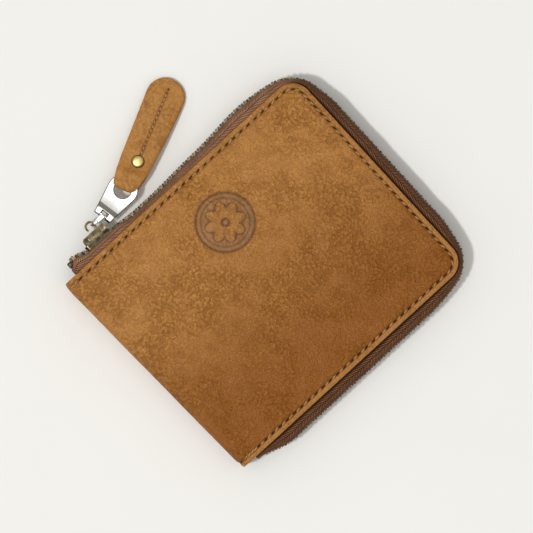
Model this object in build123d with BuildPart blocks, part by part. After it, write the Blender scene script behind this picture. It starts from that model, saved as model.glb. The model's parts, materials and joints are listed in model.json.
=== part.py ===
from build123d import *
from math import cos, radians, sin
import os

# A zip around wallet, closed and lying on its back cover.
# X runs from the spine to the opening edge, Y along the spine towards the slider's side, Z up.
# The origin is on the resting face, under the middle of the covers. Sizes are in millimetres.

# Covers
HALF_X = 60.0  # spine face to opening edge is twice this
HALF_Y = 50.0
THICK = 20.0  # over both covers, closed
MID = THICK / 2
CORNER_R = 8.0  # the two free corners
LEATHER = 1.6
FOLD_R = 4.0  # outside of the bend between a cover and the spine
FOLD_X = -HALF_X + FOLD_R
LINING = 0.6
STIFFENER = 0.6
LINING_INSET = 1.5
FOLD_GAP = 0.5  # the flat sheets inside start this far from the fold

# Edge stitching, sunk in a groove
STITCH_INSET = 2.75
STITCH_PITCH = 3.8
STITCH_LONG = 2.4
THREAD = 0.7
GROOVE_WIDE = 0.9
GROOVE_DEEP = 0.45
STITCH_FIRST_X = -52.0

# Pockets on each cover: one wide slip pocket and three stepped card slots
POCKET_LEATHER = 0.9
POCKET_LOW_Y = -46.0
SLIP_HALF_X = 50.0
SLIP_TOP_Y = 40.0
SLOT_HALF_X = 47.0
SLOT_TOP_Y = 30.0
SLOT_STEP = 12.0
SLOT_COUNT = 3
PANEL_CORNER_R = 2.0

# Zip: the chain stands outside the leather and its two rows mesh half way up
CHAIN_OUT = 2.9  # leather edge to the middle of the chain
TAPE = 0.6
TAPE_SEWN = 6.0  # how far the tape reaches in under the leather
TAPE_EDGE_GAP = 1.1  # half the gap between the two tapes' beaded edges
TAPE_START_X = -57.0
TAPE_END_X = -52.0
TOOTH_PITCH = 2.6  # of one row
TOOTH_LONG = 1.05
TOOTH_DEEP = 2.4
TOOTH_REACH = 0.6  # how far a tooth passes the middle
TOOTH_GRIP = 3.0  # foot of a tooth to the middle
TOOTH_SLOT = 0.7
TOOTH_SLOT_OVER = 0.3  # from the tape's free edge to the end of a tooth's slot
TOOTH_CHAMFER = 0.5
TEETH_START_X = -53.6
TEETH_END_X = -48.0
SPREAD_X = -40.0  # the rows part from here to the open end
SPREAD_SLOPE = 0.3
SPREAD_MOST = 2.0
STOP_LONG = 2.4
STOP_DEEP = 2.6
STOP_TALL = 3.0
STOP_SLOT_OVER = 0.2  # from the tape's free edge to the end of a stop's slot
TOP_STOP_X = -55.4
BOTTOM_STOP_X = -50.6

# Slider, seen from outside: narrow at the closed side, wide at the mouth
SLIDER_MOUTH_X = -46.2
SLIDER_TAIL_X = -33.6
SLIDER_WAIST_X = -40.5
SLIDER_TAIL_HALF = 4.3
SLIDER_MOUTH_HALF = 6.0
SLIDER_PLATE = 1.1
SLIDER_CHANNEL = 3.0
CHANNEL_TAIL_HALF = 3.35
CHANNEL_MOUTH_HALF = 5.15
TAPE_GAP = 1.2
SLIDER_MOUTH_ROUND = 1.5
WEDGE_HALF = 0.8
WEDGE_TIP_X = -43.9
WEDGE_TIP_HALF = 0.15
CAP_DEEP = 2.9
CAP_LEFT_X = -45.6
CAP_RIGHT_X = -34.2
CAP_HALF = 2.7
CAP_ROUND = 1.6
CAP_POCKETS_AT = (0.16, 0.86)  # share of the cap's length
CAP_POCKET_OUT = 1.1
CAP_POCKET = (1.6, 1.0, 0.9)
HOOK_X = -39.0
HOOK_Y = 60.2
HOOK_R = 1.9
HOOK_WIRE = 1.0
HOOK_HALF = 0.9
HOOK_FROM = -75  # degrees
HOOK_SWEEP = 280

# Link between the hook and the puller
LINK_ANGLE = -1.0  # degrees from +X
LINK_EYE_IN = 1.05  # window round the hook, from the hook's centre
LINK_EYE_OUT = 2.75
LINK_WALL = 0.8
LINK_WINDOW_HALF = 1.25
LINK_HALF = 0.5
RING_OVERLAP = 0.05  # how much shorter than its walls the ring is at each end
NECK_START = 0.2  # from the window's far side, inside the ring's end wall
NECK_HALF = 0.8
BAR_R = 0.6
BAR_LONG = 5.6

# Puller plate; it and the tab slope down together to the table
PULLER_BASE = (-32.2, 60.1, MID)  # axis of the cross bar
PULLER_YAW = 10.7
SLOPE = 7.8
PULLER_ROLL_R = 1.2
PULLER_BLOCK = 1.8  # bar axis to the end of the thick part
PULLER_BEVEL = 3.8  # bar axis to the start of the thin plate
PULLER_HALF_WIDE = 3.75
PLATE = 1.4
EYE_AT = 12.6
EYE_R = 3.4
EYE_OUTER_R = 6.1
BAR_BORE_R = 0.75
NECK_SLOT = 2.8
NECK_SLOT_OVER = 0.7  # from the bar to the end of the slot

# Leather pull tab: two layers folded through the eye
TAB_YAW = 13.9  # from the puller's own direction
RIVET_AT = (25.3, 1.93)  # in the puller's plane
TAB_LEATHER = 1.3
TAB_ROOM = 1.0  # middle to the inside of a layer, round the puller's rim
LOOP_X = -10.3  # centre of the fold
LOOP_SIDE = 1.2
LOOP_HALF = 2.1
LOOP_WIDE_TO = -5.8
LAYERS_MEET = -3.4
OUTSIDE_MEETS = 0.9  # the outer faces come together this much further on
LOOP_END_OVER = 0.4
LOOP_ENDS = -2.8  # the loop's solid stops here, where the layers are one
TAB_SHOULDER_R = 6.4
TAB_END_X = 26.9
TAB_END_R = 7.6
TAB_STITCH_FIRST = 4.6
TAB_STITCH_LAST = 29.0
TAB_STITCH_PITCH = 3.0
TAB_STITCH_LONG = 2.0
RIVET_R = 2.5
RIVET_POST_R = 0.9
RIVET_DOME = 1.3
RIVET_ROUND = 1.1
RIVET_BORE = 0.7
RIVET_FOOT = 0.6

UP = (0, 0, 1)


def save(part, name):
    """Name a finished piece, write its STEP and hand it back."""
    part.label = name
    export_step(part, f"parts/{name}.step")
    return part


def rim(grow, spine_x):
    """The cover's outline grown outwards: square at spine_x, rounded at the two free corners."""
    long = HALF_X + grow - spine_x
    with BuildSketch() as shape:
        with Locations((spine_x + long / 2, 0)):
            Rectangle(long, 2 * (HALF_Y + grow))
        fillet(shape.vertices().group_by(Axis.X)[-1], CORNER_R + grow)
    return shape.sketch


def rim_band(outer, inner, spine_x):
    """A band round the three open sides, between two growths of the outline."""
    outer_face = rim(outer, spine_x)
    inner_face = rim(inner, spine_x - 1)
    with BuildSketch() as shape:
        add(outer_face)
        add(inner_face, mode=Mode.SUBTRACT)
    return shape.sketch


def rim_wire(grow, start_x, end_x):
    """The line round the three open sides, from the slider's side to the other."""
    x = HALF_X + grow
    y = HALF_Y + grow
    with BuildLine() as line:
        FilletPolyline((start_x, y), (x, y), (x, -y), (end_x, -y), radius=CORNER_R + grow)
    return line.wire()


def stations(wire, first, pitch):
    """Planes along a wire: x along it, y outwards, z up."""
    planes = []
    at = first
    while at < wire.length:
        origin = wire.position_at(at, PositionMode.LENGTH)
        along = wire.tangent_at(at, PositionMode.LENGTH)
        planes.append(Plane(origin=origin, x_dir=along, z_dir=UP))
        at += pitch
    return planes


def sheet(name, face, low, thick):
    """A flat sheet piece."""
    with BuildPart() as piece:
        with BuildSketch(Plane.XY.offset(low)):
            add(face)
        extrude(amount=thick)
    return save(piece.part, name)


def panel(name, half_x, top_y, low):
    """A pocket panel, sewn along the bottom and open along its upper edge."""
    with BuildPart() as piece:
        with BuildSketch(Plane.XY.offset(low)):
            with Locations((0, (top_y + POCKET_LOW_Y) / 2)):
                RectangleRounded(2 * half_x, top_y - POCKET_LOW_Y, PANEL_CORNER_R)
        extrude(amount=POCKET_LEATHER)
    return save(piece.part, name)


def turned_over(name, part):
    """The front cover's copy of a back cover piece."""
    with BuildPart() as piece:
        add(part)
        mirror(about=Plane.XY.offset(MID), mode=Mode.REPLACE)
    return save(piece.part, name)


def row(name, solid, places):
    """One node of equal separate solids."""
    with BuildPart() as piece:
        with Locations(*places):
            add(solid)
    return save(piece.part, name)


def spread_at(x, y):
    """How far a row stands away from the middle, at a point of the chain."""
    if y < 0:
        return 0.0
    return min(SPREAD_MOST, max(0.0, (SPREAD_X - x) * SPREAD_SLOPE))


# ---------------------------------------------------------------- covers and spine


def cover_leather():
    """The outer leather of one cover with its stitching groove, for the back."""
    outline = rim(0, FOLD_X)
    groove = rim_band(
        GROOVE_WIDE / 2 - STITCH_INSET, -GROOVE_WIDE / 2 - STITCH_INSET, STITCH_FIRST_X - STITCH_LONG
    )
    with BuildPart() as piece:
        with BuildSketch():
            add(outline)
        extrude(amount=LEATHER)
        with BuildSketch():
            add(groove)
        extrude(amount=GROOVE_DEEP, mode=Mode.SUBTRACT)
    return save(piece.part, "back_cover_leather")


def fold(name, outer, thick):
    """A quarter bend between the back cover and the spine."""
    with BuildPart() as piece:
        with BuildSketch(Plane.XZ.offset(-HALF_Y)):
            with Locations((FOLD_X, FOLD_R)):
                Circle(outer)
                Circle(outer - thick, mode=Mode.SUBTRACT)
            with Locations((FOLD_X - outer, FOLD_R - outer)):
                Rectangle(outer, outer, align=(Align.MIN, Align.MIN), mode=Mode.INTERSECT)
        extrude(amount=2 * HALF_Y)
    return save(piece.part, name)


def spine_wall(name, outer_x, thick):
    """A flat strip of the spine between its two folds."""
    with BuildPart() as piece:
        with Locations((outer_x, 0, MID)):
            Box(thick, 2 * HALF_Y, THICK - 2 * FOLD_R, align=(Align.MIN, Align.CENTER, Align.CENTER))
    return save(piece.part, name)


def thread(long):
    """One stitch, lying along x, resting on z = 0."""
    with BuildPart() as piece:
        with BuildSketch():
            SlotOverall(long, THREAD)
        extrude(amount=GROOVE_DEEP)
    return piece.part


def edge_stitching():
    """The back cover's row of stitches."""
    line = rim_wire(-STITCH_INSET, STITCH_FIRST_X, STITCH_FIRST_X)
    places = [plane.location for plane in stations(line, 0, STITCH_PITCH)]
    return row("back_edge_stitching", thread(STITCH_LONG), places)


# ---------------------------------------------------------------- zip chain


def zip_tape():
    """The back tape: a sewn flange under the leather and a wall up to the beaded edge."""
    outer = CHAIN_OUT + TAPE / 2
    flange = rim_band(outer, -TAPE_SEWN, FOLD_X + FOLD_GAP)
    wall = rim_band(outer, outer - TAPE, TAPE_START_X)
    top = MID - TAPE_EDGE_GAP
    spread_end = SPREAD_X - SPREAD_MOST / SPREAD_SLOPE
    with BuildPart() as piece:
        with BuildSketch(Plane.XY.offset(LEATHER)):
            add(flange)
        extrude(amount=TAPE)
        with BuildSketch(Plane.XY.offset(LEATHER)):
            add(wall)
        extrude(amount=top - LEATHER)
        # The free edge drops away where the rows part.
        with BuildSketch(Plane.XZ.offset(-HALF_Y - 2 * CHAIN_OUT)):
            with BuildLine():
                Polyline(
                    (SPREAD_X, top),
                    (spread_end, top - SPREAD_MOST),
                    (TAPE_START_X - 1, top - SPREAD_MOST),
                    (TAPE_START_X - 1, top + 1),
                    (SPREAD_X, top + 1),
                    close=True,
                )
            make_face()
        extrude(amount=3 * CHAIN_OUT, mode=Mode.SUBTRACT)
        # The far end is tucked in behind the leather.
        with Locations((TAPE_END_X, -HALF_Y - CHAIN_OUT, top)):
            Box(
                HALF_X,
                2 * TAPE,
                top - LEATHER - TAPE,
                align=(Align.MAX, Align.CENTER, Align.MAX),
                mode=Mode.SUBTRACT,
            )
    return save(piece.part, "back_zip_tape")


def tooth():
    """One tooth of the back row, standing at z = its foot, slotted for the tape's beaded edge."""
    tall = TOOTH_GRIP + TOOTH_REACH
    slot_deep = TOOTH_GRIP - TAPE_EDGE_GAP + TOOTH_SLOT_OVER
    with BuildPart() as piece:
        Box(TOOTH_LONG, TOOTH_DEEP, tall, align=(Align.CENTER, Align.CENTER, Align.MIN))
        chamfer(piece.edges().group_by(Axis.Z)[-1].filter_by(Axis.X), TOOTH_CHAMFER)
        Box(
            2 * TOOTH_LONG,
            TOOTH_SLOT,
            slot_deep,
            align=(Align.CENTER, Align.CENTER, Align.MIN),
            mode=Mode.SUBTRACT,
        )
    return piece.part


def teeth_places(phase, side):
    """Where one row's teeth stand: side is -1 for the back row and 1 for the front."""
    line = rim_wire(CHAIN_OUT, TEETH_START_X, TEETH_END_X)
    places = []
    for plane in stations(line, phase, TOOTH_PITCH):
        foot = TOOTH_GRIP + spread_at(plane.origin.X, plane.origin.Y)
        flip = Rot(180, 0, 0) if side > 0 else Rot(0, 0, 0)
        places.append(plane.offset(MID + side * foot).location * flip)
    return places


def stop(z_foot, x, name):
    """A top stop clamped on the back tape's edge."""
    slot_tall = TOOTH_GRIP - TAPE_EDGE_GAP + STOP_SLOT_OVER
    with BuildPart() as piece:
        with Locations((x, HALF_Y + CHAIN_OUT, z_foot)):
            Box(STOP_LONG, STOP_DEEP, STOP_TALL, align=(Align.CENTER, Align.CENTER, Align.MIN))
            Box(
                2 * STOP_LONG,
                TOOTH_SLOT,
                slot_tall,
                align=(Align.CENTER, Align.CENTER, Align.MIN),
                mode=Mode.SUBTRACT,
            )
    return save(piece.part, name)


def bottom_stop():
    """The block that joins the two rows at their far end, slotted for both tapes."""
    half = TOOTH_GRIP
    slot_tall = 2 * (half - TAPE_EDGE_GAP + STOP_SLOT_OVER)
    with BuildPart() as piece:
        with Locations((BOTTOM_STOP_X, -HALF_Y - CHAIN_OUT, MID)):
            Box(STOP_LONG, STOP_DEEP, 2 * half)
            for side in (-1, 1):
                with Locations((0, 0, side * half)):
                    Box(STOP_LONG, TOOTH_SLOT, slot_tall, mode=Mode.SUBTRACT)
    return save(piece.part, "bottom_stop")


# ---------------------------------------------------------------- slider


def outside_plane(y):
    """A plane facing outwards at a distance along Y, drawn in X and in height over the middle."""
    return Plane(origin=(0, y, MID), x_dir=(1, 0, 0), z_dir=(0, -1, 0))


def waisted(tail_half, mouth_half, tail_x, mouth_x):
    """The slider's outline: straight from the tail to the waist, then wider to the mouth."""
    return [
        (tail_x, tail_half),
        (SLIDER_WAIST_X, tail_half),
        (mouth_x, mouth_half),
        (mouth_x, -mouth_half),
        (SLIDER_WAIST_X, -tail_half),
        (tail_x, -tail_half),
    ]


def slider_body():
    """Two plates joined by the wedge at the mouth, their edges turned in to guide the teeth."""
    chain_y = HALF_Y + CHAIN_OUT
    deep = SLIDER_CHANNEL + 2 * SLIDER_PLATE
    with BuildPart() as piece:
        with BuildSketch(outside_plane(chain_y + deep / 2)):
            Polygon(
                *waisted(SLIDER_TAIL_HALF, SLIDER_MOUTH_HALF, SLIDER_TAIL_X, SLIDER_MOUTH_X), align=None
            )
        extrude(amount=deep)
        fillet(piece.edges().filter_by(Axis.Y).group_by(Axis.X)[0], SLIDER_MOUTH_ROUND)
        with BuildSketch(outside_plane(chain_y + SLIDER_CHANNEL / 2)):
            Polygon(
                *waisted(CHANNEL_TAIL_HALF, CHANNEL_MOUTH_HALF, SLIDER_TAIL_X + 1, SLIDER_MOUTH_X),
                align=None,
            )
        extrude(amount=SLIDER_CHANNEL, mode=Mode.SUBTRACT)
        with Locations((SLIDER_WAIST_X, chain_y, MID)):
            Box(HALF_X, TAPE_GAP, THICK, mode=Mode.SUBTRACT)
        with BuildSketch(outside_plane(chain_y + deep / 2)):
            with BuildLine():
                Polyline(
                    (SLIDER_MOUTH_X, WEDGE_HALF),
                    (WEDGE_TIP_X, WEDGE_TIP_HALF),
                    (WEDGE_TIP_X, -WEDGE_TIP_HALF),
                    (SLIDER_MOUTH_X, -WEDGE_HALF),
                    close=True,
                )
            make_face()
        extrude(amount=deep)
    return save(piece.part, "slider_body")


def slider_cap():
    """The cap on the outer plate, with side pockets and the open hook that carries the link."""
    cap_y = HALF_Y + CHAIN_OUT + SLIDER_CHANNEL / 2 + SLIDER_PLATE
    long = CAP_RIGHT_X - CAP_LEFT_X
    with BuildPart() as piece:
        with Locations((CAP_LEFT_X, cap_y, MID)):
            Box(long, CAP_DEEP, 2 * CAP_HALF, align=(Align.MIN, Align.MIN, Align.CENTER))
        fillet(piece.edges().filter_by(Axis.Z).group_by(Axis.Y)[-1].sort_by(Axis.X)[0], CAP_ROUND)
        for side in (-1, 1):
            for at in CAP_POCKETS_AT:
                with Locations((CAP_LEFT_X + at * long, cap_y + CAP_POCKET_OUT, MID + side * CAP_HALF)):
                    Box(*CAP_POCKET, mode=Mode.SUBTRACT)
        with BuildSketch(Plane.XY.offset(MID - HOOK_HALF)):
            with BuildLine():
                CenterArc((HOOK_X, HOOK_Y), HOOK_R, HOOK_FROM, HOOK_SWEEP)
            trace(line_width=HOOK_WIRE)
        extrude(amount=2 * HOOK_HALF)
    return save(piece.part, "slider_cap")


# ---------------------------------------------------------------- link, puller and tab


def direction(yaw, slope):
    """A unit vector at an angle from +X in plan, pointing down by a slope."""
    return (
        cos(radians(yaw)) * cos(radians(slope)),
        sin(radians(yaw)) * cos(radians(slope)),
        -sin(radians(slope)),
    )


PULLER_ALONG = Vector(*direction(PULLER_YAW, SLOPE))
PULLER_ACROSS = Vector(*direction(PULLER_YAW + 90, 0))
PULLER_UP = PULLER_ALONG.cross(PULLER_ACROSS)
PULLER_PLANE = Plane(origin=PULLER_BASE, x_dir=PULLER_ALONG, z_dir=PULLER_UP)
PULLER_SIDE = Plane(origin=PULLER_BASE, x_dir=PULLER_ALONG, z_dir=-PULLER_ACROSS)

TAB_ALONG = PULLER_ALONG.rotate(Axis((0, 0, 0), PULLER_UP), TAB_YAW)
TAB_ACROSS = PULLER_UP.cross(TAB_ALONG)
RIVET_POINT = PULLER_PLANE.from_local_coords((*RIVET_AT, 0))
TAB_PLANE = Plane(origin=RIVET_POINT, x_dir=TAB_ALONG, z_dir=PULLER_UP)
TAB_SIDE = Plane(origin=RIVET_POINT, x_dir=TAB_ALONG, z_dir=-TAB_ACROSS)


def puller_link():
    """A ring round the hook, a short neck, and the cross bar that the puller turns on."""
    towards = Vector(*direction(LINK_ANGLE, 0))
    hook = Vector(HOOK_X, HOOK_Y, MID)
    side = Plane(origin=hook, x_dir=towards, z_dir=Vector(*direction(LINK_ANGLE - 90, 0)))
    bar = Vector(*PULLER_BASE)
    reach = (bar - hook).length
    window_mid = (LINK_EYE_IN + LINK_EYE_OUT) / 2
    window_long = LINK_EYE_OUT - LINK_EYE_IN
    with BuildPart() as piece:
        with BuildSketch(side):
            with Locations((window_mid, 0)):
                Rectangle(
                    window_long + 2 * (LINK_WALL - RING_OVERLAP), 2 * (LINK_WINDOW_HALF + LINK_WALL)
                )
                Rectangle(window_long, 2 * LINK_WINDOW_HALF, mode=Mode.SUBTRACT)
        extrude(amount=LINK_HALF, both=True)
        with BuildSketch(side):
            with Locations((LINK_EYE_OUT + NECK_START, 0)):
                Rectangle(
                    reach - LINK_EYE_OUT - NECK_START,
                    2 * NECK_HALF,
                    align=(Align.MIN, Align.CENTER),
                )
        extrude(amount=NECK_HALF, both=True)
        with BuildSketch(Plane(origin=bar, x_dir=UP, z_dir=PULLER_ACROSS)):
            Circle(BAR_R)
        extrude(amount=BAR_LONG / 2, both=True)
    return save(piece.part, "puller_link")


def puller_plate():
    """A rolled thick base with a cross bore, a bevel, and a thin plate that widens to the eye."""
    end = EYE_AT + EYE_OUTER_R + 1
    with BuildPart() as piece:
        with BuildSketch(PULLER_PLANE):
            with BuildLine():
                Polyline(
                    (-PULLER_ROLL_R, -PULLER_HALF_WIDE),
                    (PULLER_BEVEL, -PULLER_HALF_WIDE),
                    (PULLER_BEVEL, PULLER_HALF_WIDE),
                    (-PULLER_ROLL_R, PULLER_HALF_WIDE),
                    close=True,
                )
                CenterArc((EYE_AT, 0), EYE_OUTER_R, 0, 360)
            make_hull()
            with Locations((EYE_AT, 0)):
                Circle(EYE_R, mode=Mode.SUBTRACT)
        extrude(amount=PULLER_ROLL_R, both=True)
        with BuildSketch(PULLER_SIDE):
            Circle(PULLER_ROLL_R)
            with BuildLine():
                Polyline(
                    (0, PULLER_ROLL_R),
                    (PULLER_BLOCK, PULLER_ROLL_R),
                    (PULLER_BEVEL, PLATE / 2),
                    (end, PLATE / 2),
                    (end, -PLATE / 2),
                    (PULLER_BEVEL, -PLATE / 2),
                    (PULLER_BLOCK, -PULLER_ROLL_R),
                    (0, -PULLER_ROLL_R),
                    close=True,
                )
            make_face()
            Circle(BAR_BORE_R, mode=Mode.SUBTRACT)
        extrude(amount=2 * EYE_OUTER_R, both=True, mode=Mode.INTERSECT)
        with BuildSketch(PULLER_PLANE):
            with Locations((BAR_R + NECK_SLOT_OVER, 0)):
                Rectangle(HALF_X, NECK_SLOT, align=(Align.MAX, Align.CENTER))
        extrude(amount=2 * PULLER_ROLL_R, both=True, mode=Mode.SUBTRACT)
    return save(piece.part, "puller_plate")


def tab_profile(along_from, along_to):
    """One stretch of the folded strip: its side view cut out of its outline."""
    outer = TAB_ROOM + TAB_LEATHER
    meet = LAYERS_MEET
    near_end = LOOP_X - outer - LOOP_END_OVER
    far_end = TAB_END_X + TAB_END_R + 1
    with BuildPart() as piece:
        with BuildSketch(TAB_PLANE):
            with BuildLine():
                CenterArc((TAB_END_X, 0), TAB_END_R, 0, 360)
                CenterArc((0, 0), TAB_SHOULDER_R, 0, 360)
                Line((near_end, LOOP_SIDE - LOOP_HALF), (near_end, LOOP_SIDE + LOOP_HALF))
            make_hull()
        extrude(amount=outer, both=True)
        with BuildSketch(TAB_SIDE):
            with BuildLine():
                Polyline(
                    (LOOP_X, outer),
                    (LOOP_WIDE_TO, outer),
                    (meet + OUTSIDE_MEETS, TAB_LEATHER),
                    (far_end, TAB_LEATHER),
                    (far_end, -TAB_LEATHER),
                    (meet + OUTSIDE_MEETS, -TAB_LEATHER),
                    (LOOP_WIDE_TO, -outer),
                    (LOOP_X, -outer),
                )
                ThreePointArc((LOOP_X, -outer), (LOOP_X - outer, 0), (LOOP_X, outer))
            make_face()
            with BuildLine():
                Polyline(
                    (LOOP_X, TAB_ROOM),
                    (LOOP_WIDE_TO, TAB_ROOM),
                    (meet, 0),
                    (LOOP_WIDE_TO, -TAB_ROOM),
                    (LOOP_X, -TAB_ROOM),
                )
                ThreePointArc((LOOP_X, -TAB_ROOM), (LOOP_X - TAB_ROOM, 0), (LOOP_X, TAB_ROOM))
            make_face(mode=Mode.SUBTRACT)
        extrude(amount=2 * TAB_END_R, both=True, mode=Mode.INTERSECT)
        with BuildSketch(TAB_SIDE):
            with Locations(((along_from + along_to) / 2, 0)):
                Rectangle(along_to - along_from, 4 * outer)
        extrude(amount=2 * TAB_END_R, both=True, mode=Mode.INTERSECT)
    return piece.part


def pull_tab():
    """The part of the tab beyond the puller's rim, with the rivet's hole and the stitching grooves."""
    blank = tab_profile(LOOP_ENDS, TAB_END_X + 2 * TAB_END_R)
    groove_from = TAB_STITCH_FIRST - TAB_STITCH_LONG
    groove_to = TAB_STITCH_LAST + TAB_STITCH_LONG
    with BuildPart() as piece:
        add(blank)
        with BuildSketch(TAB_PLANE):
            Circle(RIVET_POST_R)
        extrude(amount=2 * TAB_LEATHER, both=True, mode=Mode.SUBTRACT)
        for side in (1, -1):
            with BuildSketch(TAB_PLANE.offset(side * TAB_LEATHER)):
                with Locations(((groove_from + groove_to) / 2, 0)):
                    Rectangle(groove_to - groove_from, GROOVE_WIDE)
            extrude(amount=-side * GROOVE_DEEP, mode=Mode.SUBTRACT)
    return save(piece.part, "pull_tab_leather")


def tab_stitching():
    """Stitches down the middle of the tab, on both faces."""
    places = []
    at = TAB_STITCH_FIRST
    while at < TAB_STITCH_LAST:
        for low in (TAB_LEATHER - GROOVE_DEEP, -TAB_LEATHER):
            places.append(TAB_PLANE.location * Pos(at, 0, low))
        at += TAB_STITCH_PITCH
    return row("pull_tab_stitching", thread(TAB_STITCH_LONG), places)


def rivet():
    """A domed cap above the tab, and a foot below it whose post is pressed into the cap."""
    with BuildPart() as cap:
        with BuildSketch(TAB_PLANE.offset(TAB_LEATHER)):
            Circle(RIVET_R)
        extrude(amount=RIVET_DOME)
        fillet(cap.edges().sort_by(Axis(RIVET_POINT, PULLER_UP))[-1], RIVET_ROUND)
        with BuildSketch(TAB_PLANE.offset(TAB_LEATHER)):
            Circle(RIVET_POST_R)
        extrude(amount=RIVET_BORE, mode=Mode.SUBTRACT)
    save(cap.part, "rivet_cap")
    with BuildPart() as foot:
        with BuildSketch(TAB_PLANE.offset(-TAB_LEATHER)):
            Circle(RIVET_R)
        extrude(amount=-RIVET_FOOT)
        with BuildSketch(TAB_PLANE.offset(-TAB_LEATHER)):
            Circle(RIVET_POST_R)
        extrude(amount=2 * TAB_LEATHER + RIVET_BORE)
    save(foot.part, "rivet_foot")


# ---------------------------------------------------------------- build everything

os.makedirs("parts", exist_ok=True)

lining_low = LEATHER + TAPE
pockets_low = lining_low + LINING

back_pieces = {
    "cover_leather": cover_leather(),
    "edge_stitching": edge_stitching(),
    "fold_leather": fold("back_fold_leather", FOLD_R, LEATHER),
    "fold_lining": fold("back_fold_lining", FOLD_R - LEATHER, LINING),
    "stiffener": sheet("back_stiffener", rim(-TAPE_SEWN, FOLD_X + 2 * FOLD_GAP), LEATHER, STIFFENER),
    "lining": sheet("back_lining", rim(-LINING_INSET, FOLD_X + FOLD_GAP), lining_low, LINING),
    "slip_pocket": panel("back_slip_pocket", SLIP_HALF_X, SLIP_TOP_Y, pockets_low),
    "zip_tape": zip_tape(),
    "top_stop": stop(MID - TOOTH_GRIP - SPREAD_MOST, TOP_STOP_X, "back_top_stop"),
}
for i in range(SLOT_COUNT):
    slot_name = f"card_slot_{i + 1}"
    back_pieces[slot_name] = panel(
        f"back_{slot_name}",
        SLOT_HALF_X,
        SLOT_TOP_Y - i * SLOT_STEP,
        pockets_low + (i + 1) * POCKET_LEATHER,
    )
for piece_name, back_piece in back_pieces.items():
    turned_over(f"front_{piece_name}", back_piece)

spine_wall("spine_leather", -HALF_X, LEATHER)
spine_wall("spine_lining", -HALF_X + LEATHER, LINING)

one_tooth = tooth()
row("back_zip_teeth", one_tooth, teeth_places(0.0, -1))
row("front_zip_teeth", one_tooth, teeth_places(TOOTH_PITCH / 2, 1))
bottom_stop()

slider_body()
slider_cap()
puller_link()
puller_plate()
save(tab_profile(LOOP_X - 2 * TAB_END_R, LOOP_ENDS), "pull_tab_loop")
pull_tab()
tab_stitching()
rivet()
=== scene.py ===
import json
import math

import bmesh
import bpy
import numpy as np
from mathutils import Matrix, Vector


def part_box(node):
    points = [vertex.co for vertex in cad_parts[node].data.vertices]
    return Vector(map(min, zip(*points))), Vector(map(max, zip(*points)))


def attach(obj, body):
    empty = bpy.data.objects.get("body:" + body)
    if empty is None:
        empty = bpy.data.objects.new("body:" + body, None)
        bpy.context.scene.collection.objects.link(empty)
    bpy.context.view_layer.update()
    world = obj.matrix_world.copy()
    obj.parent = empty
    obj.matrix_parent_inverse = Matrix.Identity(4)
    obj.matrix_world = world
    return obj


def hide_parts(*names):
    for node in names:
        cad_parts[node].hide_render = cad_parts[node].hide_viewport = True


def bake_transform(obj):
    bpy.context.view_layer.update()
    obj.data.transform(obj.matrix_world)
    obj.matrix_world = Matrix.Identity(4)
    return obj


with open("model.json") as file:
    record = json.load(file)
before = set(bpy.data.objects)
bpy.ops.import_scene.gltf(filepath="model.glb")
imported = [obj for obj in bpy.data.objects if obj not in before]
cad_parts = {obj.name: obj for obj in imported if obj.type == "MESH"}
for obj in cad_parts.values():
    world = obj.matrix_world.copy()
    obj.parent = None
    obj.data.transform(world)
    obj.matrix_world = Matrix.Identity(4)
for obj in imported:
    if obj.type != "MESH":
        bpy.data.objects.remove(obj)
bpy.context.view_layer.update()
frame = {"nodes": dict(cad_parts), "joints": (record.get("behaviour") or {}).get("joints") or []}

# A zip around wallet: leather shell, woven zip tape, metal chain and slider, leather pull tab.
# Shapes are worked out in millimetres and written in metres.
MM = 0.001


def box_mm(node):
    low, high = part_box(node)
    return np.array(low) / MM, np.array(high) / MM


# ---- sizes, from the CAD model

cover_low, cover_high = box_mm("front_cover_leather")
lining_low, lining_high = box_mm("front_lining")
spine_low, _ = box_mm("spine_leather")
_, teeth_high = box_mm("front_zip_teeth")
tape_low, _ = box_mm("front_zip_tape")

EDGE_X = cover_high[0]
EDGE_Y = cover_high[1]
TOP = cover_high[2]
MID = TOP / 2
LEATHER = cover_high[2] - cover_low[2]
FOLD_X = cover_low[0]
SPINE_X = spine_low[0]
FOLD_R = FOLD_X - SPINE_X
FOLD_LONG = FOLD_R * math.pi / 2
SEAM_U = FOLD_X - FOLD_LONG - (TOP - FOLD_R - MID)  # the middle of the spine, on the flat leather
CORNER_R = 8.0
ANCHOR_X = EDGE_X - CORNER_R
ANCHOR_Y = EDGE_Y - CORNER_R
TOOTH_DEEP = 2.4
CHAIN_OUT = teeth_high[0] - TOOTH_DEEP / 2 - EDGE_X
LINING_INSET = EDGE_X - lining_high[0]
LINING = lining_high[2] - lining_low[2]
LINING_TOP = lining_high[2]

STITCH_INSET = 2.35
STITCH_PITCH = 3.8
STITCH_FIRST_X = -52.0
TOOTH_PITCH = 2.6
TEETH_START_X = -53.6
TEETH_END_X = -48.0
SPREAD_X = -40.0
SPREAD_SLOPE = 0.3
SPREAD_MOST = 2.0

# The spine edge leans: further out at the slider's side than at the other.
SPINE_LEAN_TOP = -2.0
SPINE_LEAN_LOW = 1.3

rng = np.random.default_rng(7)
joints = {joint["name"]: joint for joint in frame["joints"]}
puller_across = -np.array(joints["puller_lift"]["axis"])
PULLER_SLOPE = math.radians(7.8)
puller_level = math.cos(PULLER_SLOPE)
puller_along = np.array(
    [puller_across[1] * puller_level, -puller_across[0] * puller_level, -math.sin(PULLER_SLOPE)]
)


def smooth(t):
    t = np.clip(t, 0.0, 1.0)
    return t * t * (3 - 2 * t)


def hump(x, middle, reach):
    """A bell of height one."""
    return np.exp(-(((x - middle) / reach) ** 2))


# ---- meshes


def linked(name, data):
    """A new object in the scene."""
    obj = bpy.data.objects.new(name, data)
    bpy.context.scene.collection.objects.link(obj)
    return obj


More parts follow.
